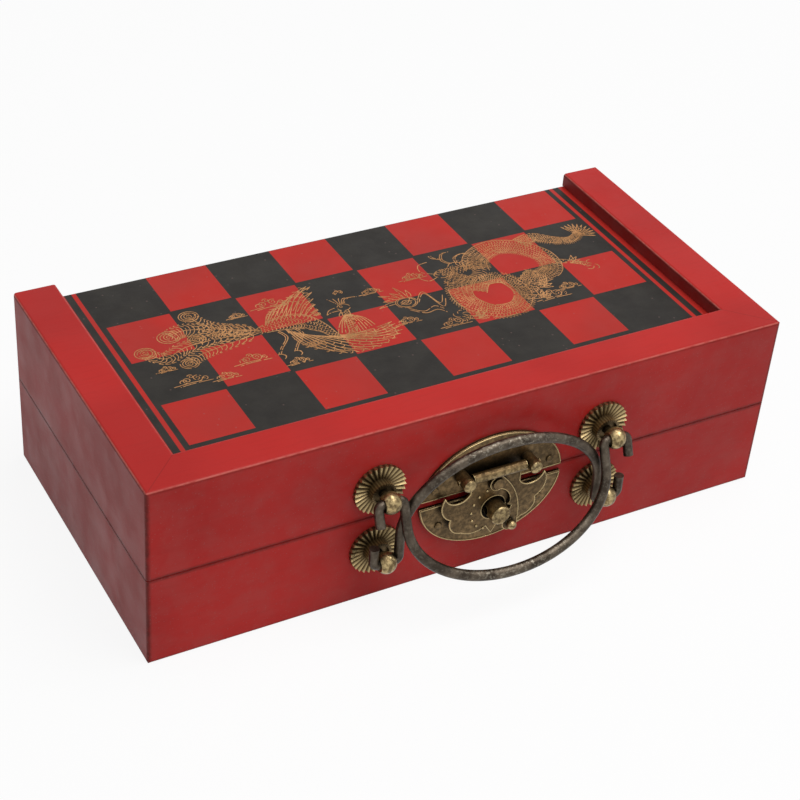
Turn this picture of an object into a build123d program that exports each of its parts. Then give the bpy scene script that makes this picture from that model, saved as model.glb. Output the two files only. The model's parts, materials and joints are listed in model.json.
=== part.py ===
from build123d import *
from math import cos, pi, radians, sin, sqrt
import os

# Chess storage case that unfolds into its own playing board, in millimetres.
# X runs along the case, the front faces -Y, +Z is up, and the origin lies under
# the middle of the whole object, with both carrying handles.

# Overall size of the closed case
case_length = 225.0
case_depth = 111.5
case_height = 66.0
seam_gap = 0.3

# Wooden rails of both halves
rail_thickness = 14.5
back_rail_thickness = 9.0
edge_round = 1.0
seam_round = 0.6

# Playing board panels, held in a groove of the rails
board_recess = 5.0
board_thickness = 3.0
tongue_depth = 4.0
tongue_clearance = 0.1

# Lining and divider inside each half
felt_thickness = 1.0
strip_thickness = 1.5
lining_clearance = 0.2
divider_thickness = 4.0
divider_drop = 2.0

# Butt hinges at the back of the seam
hinge_offset = 65.0
hinge_length = 24.0
hinge_knuckles = 5
knuckle_gap = 0.1
knuckle_radius = 2.1
knuckle_clearance = 0.4
axis_overhang = 0.3
leaf_thickness = 1.0
leaf_depth = 8.0
leaf_clearance = 0.05
hinge_pin_radius = 0.8
running_fit = 0.05
screw_radius = 0.9
screw_head_radius = 1.8
screw_head_height = 0.9
screw_length = 6.0
screw_spacing = 7.6
screw_inset = 5.2

# Handle posts and pleated rosettes on the front
hardware_x = 3.9
post_half_spacing = 40.7
upper_post_rise = 11.0
lower_post_drop = 12.8
post_radius = 1.5
post_depth = 11.0
post_clearance = 0.05
pivot_reach = 8.0
ball_radius = 3.6
ball_half_width = 2.6
rosette_radius = 8.8
rosette_thickness = 1.75
pleat_count = 28
pleat_floor = 0.7
pleat_scallop = 0.25
hub_radius = 4.2
hub_height = 3.9
hub_wall = 0.8
hub_recess = 1.0

# Carrying handles, the same bar bent twice
rod_radius = 1.6
bow_width = 1.8
bow_thickness = 1.7
bend_radius = 1.75
leg_length = 9.0
bow_rise = 24.4
stub_length = 7.0
upper_handle_tilt = 22.0
lower_handle_tilt = 1.5

# Lock plates
plate_half_width = 26.0
plate_half_height = 20.5
plate_drop = 1.0
plate_thickness = 1.2
upper_plate_edge = 0.4
lower_plate_edge = 2.4
nail_radius = 0.8
nail_head_radius = 1.25
nail_head_height = 0.6
nail_length = 6.0
upper_nail_x = 21.0
upper_nail_rise = 3.9
lower_nail_x = 18.6
lower_nail_drop = 10.6

# Hasp, its barrel and the two lugs that carry it
lug_half_spacing = 12.1
lug_radius = 2.2
lug_reach = 7.7
rivet_radius = 1.3
barrel_rise = 7.4
barrel_reach = 4.4
barrel_radius = 1.7
barrel_side_gap = 0.3
hasp_pin_radius = 0.75
hasp_pin_end = 0.5
hasp_thickness = 0.9
hasp_neck_half_width = 8.9
hasp_neck_end = 0.6
hasp_wing_half_width = 18.2
hasp_wing_rise = 1.3
hasp_neck_scoop = 3.0
hasp_wing_bulge = 2.1
hasp_waist_half_width = 15.5
hasp_waist_drop = 7.9
hasp_lobe_half_width = 11.2
hasp_lobe_drop = 14.4
hasp_tip_half_width = 2.2
hasp_tip_drop = 17.8
hasp_lobe_bulge = 1.9
hasp_foot_bulge = 1.4
hasp_hole_radius = 4.5

# Post that the hasp drops over, and the latch lever that hooks into it
lock_post_drop = 7.4
lock_post_radius = 3.4
lock_post_rounding = 0.5
lock_post_reach = 8.7
latch_hole_radius = 1.4
stud_rise = 3.0
stud_radius = 1.1
stud_head_radius = 2.0
stud_head_height = 0.7
lever_thickness = 1.0
lever_gap = 0.1
lever_eye_radius = 2.7
lever_shoulder_x = 1.5
lever_shoulder_rise = 2.2
lever_root_x = 0.9
lever_root_drop = 2.4
lever_outer_bulge = 2.3
lever_inner_bulge = 1.5
lever_tail_x = 8.8
lever_tail_drop = 16.6
lever_heel_x = 3.7
lever_notch_x = 6.2
lever_notch_drop = 10.6
beak_x = 4.5
beak_drop = 9.9
beak_root_x = 5.3
beak_root_drop = 9.0
knob_radius = 1.7
knob_rise = 1.2
knob_stem_radius = 1.1
knob_x = 6.2
knob_drop = 17.9

# Places worked out from the sizes above
seam_z = case_height / 2
half_gap = seam_gap / 2
half_height = seam_z - half_gap
bow_span = post_half_spacing - ball_half_width - bend_radius - running_fit
stub_span = post_half_spacing + ball_half_width + bend_radius + running_fit
handle_height = leg_length + bow_rise
bow_reach = sqrt(
    (bow_width * sin(radians(upper_handle_tilt))) ** 2
    + (bow_thickness * cos(radians(upper_handle_tilt))) ** 2
)
front_reach = pivot_reach + handle_height * sin(radians(upper_handle_tilt)) + bow_reach
back_reach = axis_overhang + knuckle_radius
front_y = (front_reach - back_reach - case_depth) / 2
back_y = front_y + case_depth
hinge_y = back_y + axis_overhang
middle_y = (front_y + back_y) / 2
inner_front_y = front_y + rail_thickness
inner_back_y = back_y - back_rail_thickness
inner_half_length = case_length / 2 - rail_thickness
board_floor = board_recess + board_thickness
upper_post_z = seam_z + upper_post_rise
lower_post_z = seam_z - lower_post_drop
barrel_z = seam_z + barrel_rise
lock_post_z = seam_z - lock_post_drop
stud_z = seam_z + stud_rise
hasp_back = barrel_reach - barrel_radius
hasp_front = hasp_back + hasp_thickness
lever_back = hasp_front + lever_gap
lever_front = lever_back + lever_thickness
rod_bore_radius = rod_radius + running_fit

os.makedirs("parts", exist_ok=True)


def save(part, label):
    part.part.label = label
    export_step(part.part, f"parts/{label}.step")


def outward_plane(x, z, reach=0.0):
    """A plane parallel to the front face, its normal pointing out of the case."""
    return Plane(origin=(x, front_y - reach, z), x_dir=(1, 0, 0), z_dir=(0, -1, 0))


def bulge_point(start, end, bulge):
    """Middle of an arc from start to end that stands bulge to the left of its chord."""
    run = Vector(end) - Vector(start)
    left = Vector(-run.Y, run.X).normalized()
    middle = (Vector(start) + Vector(end)) / 2 + left * bulge
    return (middle.X, middle.Y)


class Half:
    """Heights of one half: depth is counted from its playing face to the seam."""

    def __init__(self, name, outer_z, inward):
        self.name = name
        self.outer_z = outer_z
        self.inward = inward

    def z(self, depth):
        return self.outer_z + self.inward * depth

    def wood(self, x, y):
        """A plane on the seam face with its normal pointing into the wood."""
        return Plane(origin=(x, y, self.z(half_height)), x_dir=(1, 0, 0), z_dir=(0, 0, -self.inward))


lid = Half("lid", case_height, -1)
base = Half("base", 0.0, 1)
halves = (lid, base)


# Rails of the case

def rail_section(plane):
    """Outer corner rounded, seam corner eased, and a groove for the board."""
    with BuildSketch(plane) as section:
        with Locations((rail_thickness / 2, half_height / 2)):
            Rectangle(rail_thickness, half_height)
        corners = section.vertices()
        fillet(corners.group_by(Axis.Y)[0], radius=edge_round)
        fillet(corners.group_by(Axis.Y)[-1].sort_by(Axis.X)[0], radius=seam_round)
        groove_depth = tongue_depth + tongue_clearance
        groove_width = board_thickness + 2 * tongue_clearance
        with Locations((rail_thickness - groove_depth / 2, board_recess + board_thickness / 2)):
            Rectangle(groove_depth, groove_width, mode=Mode.SUBTRACT)
    return section.sketch


def mitre_plane(side):
    """The 45 degree joint at a front corner, its normal pointing at the front rail."""
    return Plane(origin=(side * case_length / 2, front_y, 0), z_dir=(-side, -1, 0))


def round_corners():
    """Ease the standing corners of the case on the rail in hand."""
    with BuildSketch(Plane.XY) as plan:
        with Locations((0, middle_y)):
            RectangleRounded(case_length, case_depth, edge_round)
    extrude(plan.sketch, amount=case_height, mode=Mode.INTERSECT)


def front_holes(half):
    """Blind holes in a front rail for the handle posts and the plate nails."""
    post_z = upper_post_z if half is lid else lower_post_z
    nail_x = upper_nail_x if half is lid else lower_nail_x
    nail_z = seam_z + upper_nail_rise if half is lid else seam_z - lower_nail_drop
    for side in (-1, 1):
        with Locations(outward_plane(hardware_x + side * post_half_spacing, post_z)):
            Hole(radius=post_radius + post_clearance, depth=post_depth + post_clearance)
        with Locations(outward_plane(hardware_x + side * nail_x, nail_z)):
            Hole(radius=nail_radius + post_clearance, depth=nail_length + post_clearance)


def front_rail(half):
    start = Plane(
        origin=(-half.inward * case_length / 2, front_y, half.outer_z),
        x_dir=(0, 1, 0),
        z_dir=(half.inward, 0, 0),
    )
    with BuildPart() as rail:
        extrude(rail_section(start), amount=case_length, dir=start.z_dir)
        split(bisect_by=mitre_plane(-1), keep=Keep.TOP)
        split(bisect_by=mitre_plane(1), keep=Keep.TOP)
        round_corners()
        front_holes(half)
    return rail


def side_rail(half, side):
    run = side * half.inward
    start = Plane(
        origin=(side * case_length / 2, middle_y - run * case_depth / 2, half.outer_z),
        x_dir=(-side, 0, 0),
        z_dir=(0, run, 0),
    )
    with BuildPart() as rail:
        extrude(rail_section(start), amount=case_depth, dir=start.z_dir)
        split(bisect_by=mitre_plane(side), keep=Keep.BOTTOM)
        round_corners()
    return rail


def back_rail(half):
    """Runs between the side rails under the board, cut for both hinges."""
    height = half_height - board_floor
    barrel_room = knuckle_radius + knuckle_clearance
    with BuildPart() as rail:
        with Locations((0, back_y - back_rail_thickness / 2, half.z(board_floor + height / 2))):
            Box(2 * inner_half_length, back_rail_thickness, height)
        seam_edge = rail.edges().filter_by(Axis.X).group_by(Axis.Y)[-1]
        seam_edge = seam_edge.sort_by(Axis.Z)[0 if half is lid else -1]
        fillet(seam_edge, radius=seam_round)
        for side in (-1, 1):
            x = side * hinge_offset
            with Locations(half.wood(x, back_y)):
                Box(
                    hinge_length + 2 * leaf_clearance,
                    2 * (leaf_depth + leaf_clearance),
                    leaf_thickness + leaf_clearance,
                    align=(Align.CENTER, Align.CENTER, Align.MIN),
                    mode=Mode.SUBTRACT,
                )
            with Locations(half.wood(x, hinge_y)):
                Box(
                    hinge_length + 2 * knuckle_clearance,
                    2 * barrel_room,
                    barrel_room,
                    align=(Align.CENTER, Align.CENTER, Align.MIN),
                    mode=Mode.SUBTRACT,
                )
        with Locations(*screw_planes(half)):
            Hole(radius=screw_radius + post_clearance, depth=screw_length + post_clearance)
    return rail


# Board panels, lining and dividers

def board(half):
    """A panel with tongues on three sides that covers the back rail."""
    half_width = inner_half_length + tongue_depth
    depth = back_y - inner_front_y + tongue_depth
    with BuildPart() as panel:
        with Locations((0, back_y - depth / 2, half.z(board_recess + board_thickness / 2))):
            Box(2 * half_width, depth, board_thickness)
        outer_edge = panel.edges().filter_by(Axis.X).group_by(Axis.Y)[-1]
        outer_edge = outer_edge.sort_by(Axis.Z)[-1 if half is lid else 0]
        fillet(outer_edge, radius=seam_round)
    return panel


def floor_pad(half):
    length = 2 * (inner_half_length - lining_clearance)
    depth = inner_back_y - inner_front_y - 2 * lining_clearance
    centre_y = (inner_front_y + inner_back_y) / 2
    with BuildPart() as pad:
        with Locations((0, centre_y, half.z(board_floor + felt_thickness / 2))):
            Box(length, depth, felt_thickness)
    return pad


def wall_strips(half):
    """Four lining strips that stand on the felt, butted at the corners."""
    strip_height = half_height - board_floor - felt_thickness - divider_drop
    z = half.z(board_floor + felt_thickness + strip_height / 2)
    long_side = 2 * inner_half_length
    short_side = inner_back_y - inner_front_y - 2 * strip_thickness
    centre_y = (inner_front_y + inner_back_y) / 2
    with BuildPart() as strips:
        with Locations(
            (0, inner_front_y + strip_thickness / 2, z),
            (0, inner_back_y - strip_thickness / 2, z),
        ):
            Box(long_side - 2 * lining_clearance, strip_thickness, strip_height)
        with Locations(
            (-inner_half_length + strip_thickness / 2, centre_y, z),
            (inner_half_length - strip_thickness / 2, centre_y, z),
        ):
            Box(strip_thickness, short_side - 2 * lining_clearance, strip_height)
    return strips


def divider(half):
    """A bar along the middle that makes two troughs for the two sides' men."""
    length = 2 * (inner_half_length - strip_thickness - lining_clearance)
    height = half_height - board_floor - felt_thickness - divider_drop
    centre_y = (inner_front_y + inner_back_y) / 2
    with BuildPart() as bar:
        with Locations((0, centre_y, half.z(board_floor + felt_thickness + height / 2))):
            Box(length, divider_thickness, height)
        seam_face = bar.faces().sort_by(Axis.Z)[0 if half is lid else -1]
        fillet(seam_face.edges().filter_by(Axis.X), radius=edge_round)
    return bar


# Butt hinges

def screw_planes(half):
    places = []
    for side in (-1, 1):
        for step in (-1, 0, 1):
            x = side * hinge_offset + step * screw_spacing
            places.append(half.wood(x, back_y - screw_inset))
    return places


def hinge_leaves(half):
    """Two leaves let into the seam face, with every second knuckle each."""
    pitch = hinge_length / hinge_knuckles
    own = [n for n in range(hinge_knuckles) if (n % 2 == 0) == (half is base)]
    others = [n for n in range(hinge_knuckles) if n not in own]
    leaf_run = leaf_depth + axis_overhang
    with BuildPart() as leaves:
        for side in (-1, 1):
            with Locations(half.wood(side * hinge_offset, hinge_y)):
                Box(
                    hinge_length,
                    2 * leaf_run,
                    leaf_thickness,
                    align=(Align.CENTER, Align.CENTER, Align.MIN),
                )
        with Locations((0, hinge_y, seam_z)):
            Box(
                2 * case_length,
                2 * leaf_run,
                4 * knuckle_radius,
                align=(Align.CENTER, Align.MIN, Align.CENTER),
                mode=Mode.SUBTRACT,
            )
        first = -hinge_length / 2 + pitch / 2
        for side in (-1, 1):
            start = side * hinge_offset + first
            with Locations(*[(start + n * pitch, hinge_y, seam_z) for n in others]):
                Cylinder(
                    knuckle_radius + knuckle_clearance,
                    pitch + 2 * knuckle_gap,
                    rotation=(0, 90, 0),
                    mode=Mode.SUBTRACT,
                )
            with Locations(*[(start + n * pitch, hinge_y, seam_z) for n in own]):
                Cylinder(knuckle_radius, pitch - knuckle_gap, rotation=(0, 90, 0))
            with Locations((side * hinge_offset, hinge_y, seam_z)):
                Cylinder(
                    hinge_pin_radius + running_fit,
                    hinge_length + 2 * knuckle_gap,
                    rotation=(0, 90, 0),
                    mode=Mode.SUBTRACT,
                )
        with Locations(*screw_planes(half)):
            Cone(
                screw_head_radius + post_clearance,
                screw_radius + post_clearance,
                screw_head_height,
                align=(Align.CENTER, Align.CENTER, Align.MIN),
                mode=Mode.SUBTRACT,
            )
            Cylinder(
                screw_radius + post_clearance,
                leaf_thickness,
                align=(Align.CENTER, Align.CENTER, Align.MIN),
                mode=Mode.SUBTRACT,
            )
    return leaves


def hinge_screws(half):
    """Countersunk screws, six to a half."""
    with BuildPart() as screws:
        with Locations(*screw_planes(half)):
            Cone(
                screw_head_radius,
                screw_radius,
                screw_head_height,
                align=(Align.CENTER, Align.CENTER, Align.MIN),
            )
            Cylinder(
                screw_radius,
                screw_length,
                align=(Align.CENTER, Align.CENTER, Align.MIN),
            )
    return screws


def hinge_pins():
    with BuildPart() as pins:
        with Locations(*[(side * hinge_offset, hinge_y, seam_z) for side in (-1, 1)]):
            Cylinder(hinge_pin_radius, hinge_length, rotation=(0, 90, 0))
    return pins


# Handle posts, rosettes and handles

def rosette(x, z):
    """A round washer pressed into radial pleats round a cupped hub."""
    # Every pleat is a pair of flat flanks that run from the middle of the washer
    # to a ridge and a valley on its rim, so the ridges rise outward.
    plane = outward_plane(x, z)
    middle = plane.from_local_coords((0, 0, pleat_floor))
    rim = []
    foot = []
    for n in range(2 * pleat_count):
        angle = pi * n / pleat_count
        ridge = n % 2 == 0
        radius = rosette_radius if ridge else rosette_radius - pleat_scallop
        height = rosette_thickness if ridge else pleat_floor
        across = (radius * cos(angle), radius * sin(angle))
        rim.append(plane.from_local_coords((*across, height)))
        foot.append(plane.from_local_coords((*across, 0)))
    faces = [Face(Wire.make_polygon(foot))]
    for n in range(2 * pleat_count):
        faces.append(Face(Wire.make_polygon([middle, rim[n - 1], rim[n]])))
        faces.append(Face(Wire.make_polygon([rim[n - 1], foot[n - 1], foot[n], rim[n]])))
    with BuildPart() as washer:
        add(Solid(Shell(faces)))
        with Locations(plane):
            Cylinder(hub_radius, hub_height, align=(Align.CENTER, Align.CENTER, Align.MIN))
        with Locations(plane.offset(hub_height)):
            Hole(radius=hub_radius - hub_wall, depth=hub_recess)
            Hole(radius=post_radius + post_clearance)
    return washer


def handle_post(x, z):
    """A shank driven into the rail, with a cross-bored ball at its end."""
    cheek = sqrt(ball_radius**2 - ball_half_width**2)
    with BuildPart() as post:
        with Locations(outward_plane(x, z, -post_depth)):
            Cylinder(
                post_radius,
                post_depth + pivot_reach,
                align=(Align.CENTER, Align.CENTER, Align.MIN),
            )
        with BuildSketch(Plane(origin=(x, front_y - pivot_reach, z))):
            with BuildLine():
                Polyline(
                    (-ball_half_width, cheek),
                    (-ball_half_width, 0),
                    (ball_half_width, 0),
                    (ball_half_width, cheek),
                )
                ThreePointArc((ball_half_width, cheek), (0, ball_radius), (-ball_half_width, cheek))
            make_face()
        revolve(axis=Axis((x, front_y - pivot_reach, z), (1, 0, 0)))
        with Locations((x, front_y - pivot_reach, z)):
            Cylinder(rod_bore_radius, 4 * ball_radius, rotation=(0, 90, 0), mode=Mode.SUBTRACT)
    return post


def handle(plane):
    """A bar bent through both balls, swelling and flattening towards its bow."""
    with BuildPart() as bar:
        for side in (-1, 1):
            corners = (
                (side * bow_span, leg_length),
                (side * bow_span, 0),
                (side * stub_span, 0),
                (side * stub_span, stub_length),
            )
            with BuildLine(plane) as leg:
                FilletPolyline(*corners, radius=bend_radius)
            with BuildSketch(Plane(origin=leg.line @ 0, z_dir=leg.line % 0)):
                Circle(rod_radius)
            sweep(path=leg.line)
        with BuildLine(plane) as bow:
            EllipticalCenterArc((0, leg_length), bow_span, bow_rise, start_angle=0, arc_size=180)
        sections = []
        for share, wide, thick in (
            (0, rod_radius, rod_radius),
            (0.5, bow_width, bow_thickness),
            (1, rod_radius, rod_radius),
        ):
            across = Plane(origin=bow.line @ share, x_dir=plane.z_dir, z_dir=bow.line % share)
            with BuildSketch(across) as section:
                Ellipse(thick, wide)
            sections.append(section.sketch)
        sweep(sections=sections, path=bow.line, multisection=True)
    return bar


# Lock

def lock_plate(half):
    """One half of the oval plate, cut straight along the seam."""
    upper = half is lid
    edge_z = seam_z + upper_plate_edge if upper else seam_z - lower_plate_edge
    centre_z = seam_z - plate_drop
    nail_x = upper_nail_x if upper else lower_nail_x
    nail_z = seam_z + upper_nail_rise if upper else seam_z - lower_nail_drop
    with BuildPart() as plate:
        with BuildSketch(outward_plane(hardware_x, centre_z)):
            Ellipse(plate_half_width, plate_half_height)
            with Locations((0, edge_z - centre_z)):
                Rectangle(
                    4 * plate_half_width,
                    4 * plate_half_height,
                    align=(Align.CENTER, Align.MAX if upper else Align.MIN),
                    mode=Mode.SUBTRACT,
                )
        extrude(amount=plate_thickness)
        rim = plate.faces().sort_by(Axis.Y)[0].edges()
        chamfer(rim, length=plate_thickness / 4)
        for side in (-1, 1):
            with Locations(outward_plane(hardware_x + side * nail_x, nail_z, plate_thickness)):
                Hole(radius=nail_radius + post_clearance)
        if upper:
            for side in (-1, 1):
                lug_x = hardware_x + side * lug_half_spacing
                with Locations(outward_plane(lug_x, barrel_z, plate_thickness)):
                    Hole(radius=rivet_radius + post_clearance)
        else:
            with Locations(outward_plane(hardware_x, lock_post_z, plate_thickness)):
                Hole(radius=rivet_radius + post_clearance)
    return plate


def plate_nails(half):
    upper = half is lid
    nail_x = upper_nail_x if upper else lower_nail_x
    nail_z = seam_z + upper_nail_rise if upper else seam_z - lower_nail_drop
    with BuildPart() as nails:
        for side in (-1, 1):
            x = hardware_x + side * nail_x
            with Locations(outward_plane(x, nail_z, -nail_length)):
                Cylinder(
                    nail_radius,
                    nail_length + plate_thickness,
                    align=(Align.CENTER, Align.CENTER, Align.MIN),
                )
            with Locations(outward_plane(x, nail_z, plate_thickness)):
                Cylinder(
                    nail_head_radius,
                    nail_head_height,
                    align=(Align.CENTER, Align.CENTER, Align.MIN),
                )
        rims = nails.edges().filter_by(GeomType.CIRCLE).group_by(Axis.Y)[0]
        fillet(rims, radius=0.8 * nail_head_height)
    return nails


def hasp_lugs():
    """Two round lugs riveted through the upper plate, cross-bored for the pin."""
    with BuildPart() as lugs:
        for side in (-1, 1):
            x = hardware_x + side * lug_half_spacing
            with Locations(outward_plane(x, barrel_z)):
                Cylinder(
                    rivet_radius,
                    plate_thickness,
                    align=(Align.CENTER, Align.CENTER, Align.MIN),
                )
            with Locations(outward_plane(x, barrel_z, plate_thickness)):
                Cylinder(
                    lug_radius,
                    lug_reach - plate_thickness,
                    align=(Align.CENTER, Align.CENTER, Align.MIN),
                )
        ends = lugs.edges().filter_by(GeomType.CIRCLE).group_by(Axis.Y)[0]
        fillet(ends, radius=seam_round)
        with Locations((hardware_x, front_y - barrel_reach, barrel_z)):
            Cylinder(
                hasp_pin_radius + running_fit,
                4 * lug_half_spacing,
                rotation=(0, 90, 0),
                mode=Mode.SUBTRACT,
            )
    return lugs


def hasp_pin():
    with BuildPart() as pin:
        with Locations((hardware_x, front_y - barrel_reach, barrel_z)):
            Cylinder(
                hasp_pin_radius,
                2 * (lug_half_spacing + lug_radius + hasp_pin_end),
                rotation=(0, 90, 0),
            )
    return pin


def hasp_outline():
    """Right half of the hasp: neck, wing, lobe and the point at the bottom."""
    # Heights are counted from the seam and widths from the middle of the lock.
    neck = (hasp_neck_half_width, hasp_neck_end)
    wing = (hasp_wing_half_width, hasp_wing_rise)
    waist = (hasp_waist_half_width, -hasp_waist_drop)
    lobe = (hasp_lobe_half_width, -hasp_lobe_drop)
    tip = (hasp_tip_half_width, -hasp_lobe_drop)
    with BuildLine() as outline:
        Polyline((0, barrel_rise), (hasp_neck_half_width, barrel_rise), neck)
        ThreePointArc(neck, bulge_point(neck, wing, -hasp_neck_scoop), wing)
        ThreePointArc(wing, bulge_point(wing, waist, hasp_wing_bulge), waist)
        ThreePointArc(waist, bulge_point(waist, lobe, hasp_lobe_bulge), lobe)
        ThreePointArc(lobe, bulge_point(lobe, tip, hasp_foot_bulge), tip)
        Polyline(tip, (0, -hasp_tip_drop), (0, barrel_rise))
    return outline.line


def hasp():
    """A scalloped plate that hangs from its barrel and drops over the lock post."""
    barrel_length = 2 * (lug_half_spacing - lug_radius - barrel_side_gap)
    with BuildPart() as plate:
        with BuildSketch(outward_plane(hardware_x, seam_z, hasp_back)):
            make_face(hasp_outline())
            mirror(about=Plane.YZ)
        extrude(amount=hasp_thickness)
        with Locations((hardware_x, front_y - barrel_reach, barrel_z)):
            Cylinder(barrel_radius, barrel_length, rotation=(0, 90, 0))
            Cylinder(
                hasp_pin_radius + running_fit,
                barrel_length,
                rotation=(0, 90, 0),
                mode=Mode.SUBTRACT,
            )
        with Locations(outward_plane(hardware_x, lock_post_z, hasp_front)):
            Hole(radius=hasp_hole_radius)
        with Locations(outward_plane(hardware_x, stud_z, hasp_front)):
            Hole(radius=stud_radius + running_fit)
    return plate


def hasp_stud():
    """The headed rivet that the latch lever turns on."""
    with BuildPart() as stud:
        with Locations(outward_plane(hardware_x, stud_z, hasp_back)):
            Cylinder(
                stud_radius,
                lever_front + lever_gap - hasp_back,
                align=(Align.CENTER, Align.CENTER, Align.MIN),
            )
        with Locations(outward_plane(hardware_x, stud_z, lever_front + lever_gap)):
            Cylinder(
                stud_head_radius,
                stud_head_height,
                align=(Align.CENTER, Align.CENTER, Align.MIN),
            )
        fillet(stud.edges().filter_by(GeomType.CIRCLE).sort_by(Axis.Y)[0], radius=stud_head_height / 3)
    return stud


def latch_lever():
    """A crescent that hooks its beak into the cross hole of the lock post."""
    # Points are counted from the stud, as the lever hangs open beside the post.
    shoulder = (lever_shoulder_x, lever_shoulder_rise)
    root = (lever_root_x, -lever_root_drop)
    tail = (lever_tail_x, -lever_tail_drop)
    heel = (lever_heel_x, -lever_tail_drop)
    notch = (lever_notch_x, -lever_notch_drop)
    beak = (beak_x, -beak_drop)
    beak_root = (beak_root_x, -beak_root_drop)
    with BuildPart() as lever:
        with BuildSketch(outward_plane(hardware_x, stud_z, lever_back)):
            with BuildLine():
                ThreePointArc(shoulder, bulge_point(shoulder, tail, lever_outer_bulge), tail)
                Polyline(tail, heel, notch, beak, beak_root)
                ThreePointArc(beak_root, bulge_point(beak_root, root, -lever_inner_bulge), root)
                Line(root, shoulder)
            make_face()
            Circle(lever_eye_radius)
            with Locations((knob_x, -knob_drop)):
                Circle(lever_eye_radius)
        extrude(amount=lever_thickness)
        with Locations(outward_plane(hardware_x, stud_z, lever_front)):
            Hole(radius=stud_radius + running_fit)
        with Locations(outward_plane(hardware_x + knob_x, stud_z - knob_drop, lever_front)):
            Hole(radius=knob_stem_radius + post_clearance)
    return lever


def latch_knob():
    """A ball on a stem riveted through the tail of the lever."""
    tail = outward_plane(hardware_x + knob_x, stud_z - knob_drop, lever_front)
    with BuildPart() as knob:
        with Locations(tail.offset(knob_rise)):
            Sphere(knob_radius)
        split(bisect_by=tail, keep=Keep.TOP)
        with Locations(tail.offset(-lever_thickness)):
            Cylinder(
                knob_stem_radius,
                lever_thickness + knob_rise,
                align=(Align.CENTER, Align.CENTER, Align.MIN),
            )
    return knob


def lock_post():
    """A round post riveted through the lower plate, cross-bored for the beak."""
    with BuildPart() as post:
        with Locations(outward_plane(hardware_x, lock_post_z)):
            Cylinder(
                rivet_radius,
                plate_thickness,
                align=(Align.CENTER, Align.CENTER, Align.MIN),
            )
        with Locations(outward_plane(hardware_x, lock_post_z, plate_thickness)):
            Cylinder(
                lock_post_radius,
                lock_post_reach - plate_thickness,
                align=(Align.CENTER, Align.CENTER, Align.MIN),
            )
        fillet(post.edges().filter_by(GeomType.CIRCLE).sort_by(Axis.Y)[0], radius=lock_post_rounding)
        with Locations((hardware_x, front_y - lever_back - lever_thickness / 2, lock_post_z)):
            Cylinder(
                latch_hole_radius,
                4 * lock_post_radius,
                rotation=(0, 90, 0),
                mode=Mode.SUBTRACT,
            )
    return post


# Write every piece of both halves

for half in halves:
    save(front_rail(half), f"{half.name}_front_rail")
    save(side_rail(half, -1), f"{half.name}_left_rail")
    save(side_rail(half, 1), f"{half.name}_right_rail")
    save(back_rail(half), f"{half.name}_back_rail")
    save(board(half), f"{half.name}_board")
    save(floor_pad(half), f"{half.name}_floor_pad")
    save(wall_strips(half), f"{half.name}_wall_strips")
    save(divider(half), f"{half.name}_divider")
    save(hinge_leaves(half), f"{half.name}_hinge_leaves")
    save(hinge_screws(half), f"{half.name}_hinge_screws")
    save(lock_plate(half), f"{half.name}_lock_plate")
    save(plate_nails(half), f"{half.name}_plate_nails")
    post_z = upper_post_z if half is lid else lower_post_z
    for side, side_name in ((-1, "left"), (1, "right")):
        post_x = hardware_x + side * post_half_spacing
        save(rosette(post_x, post_z), f"{half.name}_{side_name}_rosette")
        save(handle_post(post_x, post_z), f"{half.name}_{side_name}_handle_post")

# Write the hinge pins, the lock and the two handles

save(hinge_pins(), "hinge_pins")
save(hasp_lugs(), "hasp_lugs")
save(hasp_pin(), "hasp_pin")
save(hasp(), "hasp")
save(hasp_stud(), "hasp_stud")
save(latch_lever(), "latch_lever")
save(latch_knob(), "latch_knob")
save(lock_post(), "lock_post")

# The upper handle hangs tilted outward, and the lower one is folded up behind it.
upper_swing = radians(upper_handle_tilt)
lower_swing = radians(lower_handle_tilt)
upper_plane = Plane(
    origin=(hardware_x, front_y - pivot_reach, upper_post_z),
    x_dir=(-1, 0, 0),
    z_dir=(0, -cos(upper_swing), sin(upper_swing)),
)
lower_plane = Plane(
    origin=(hardware_x, front_y - pivot_reach, lower_post_z),
    x_dir=(1, 0, 0),
    z_dir=(0, -cos(lower_swing), sin(lower_swing)),
)
save(handle(upper_plane), "upper_handle")
save(handle(lower_plane), "lower_handle")
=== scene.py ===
import json
from math import atan2, cos, hypot, pi, radians, sin

import bmesh
import bpy
from mathutils import Matrix, Vector


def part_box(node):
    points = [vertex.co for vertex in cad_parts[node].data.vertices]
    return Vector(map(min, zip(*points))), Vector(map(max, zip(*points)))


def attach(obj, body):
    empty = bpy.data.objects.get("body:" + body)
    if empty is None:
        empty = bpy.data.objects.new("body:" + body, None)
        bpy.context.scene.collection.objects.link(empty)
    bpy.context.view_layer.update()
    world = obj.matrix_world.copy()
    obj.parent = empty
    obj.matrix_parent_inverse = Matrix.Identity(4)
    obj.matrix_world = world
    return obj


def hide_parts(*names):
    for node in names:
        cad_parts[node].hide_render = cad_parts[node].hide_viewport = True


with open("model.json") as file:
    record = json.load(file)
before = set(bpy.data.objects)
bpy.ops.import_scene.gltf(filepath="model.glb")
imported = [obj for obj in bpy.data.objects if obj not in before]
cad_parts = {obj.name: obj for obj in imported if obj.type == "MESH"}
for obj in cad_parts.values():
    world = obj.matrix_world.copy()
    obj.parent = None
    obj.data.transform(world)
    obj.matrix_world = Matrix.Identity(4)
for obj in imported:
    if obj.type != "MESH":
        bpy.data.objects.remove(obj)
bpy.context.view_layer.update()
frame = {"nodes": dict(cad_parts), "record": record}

# A chess storage case that unfolds into its own board. Everything is in metres, with X
# along the case, the front facing -Y and +Z up.

MM = 0.001


def middle_of(node):
    low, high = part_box(node)
    return (low + high) / 2


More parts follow.
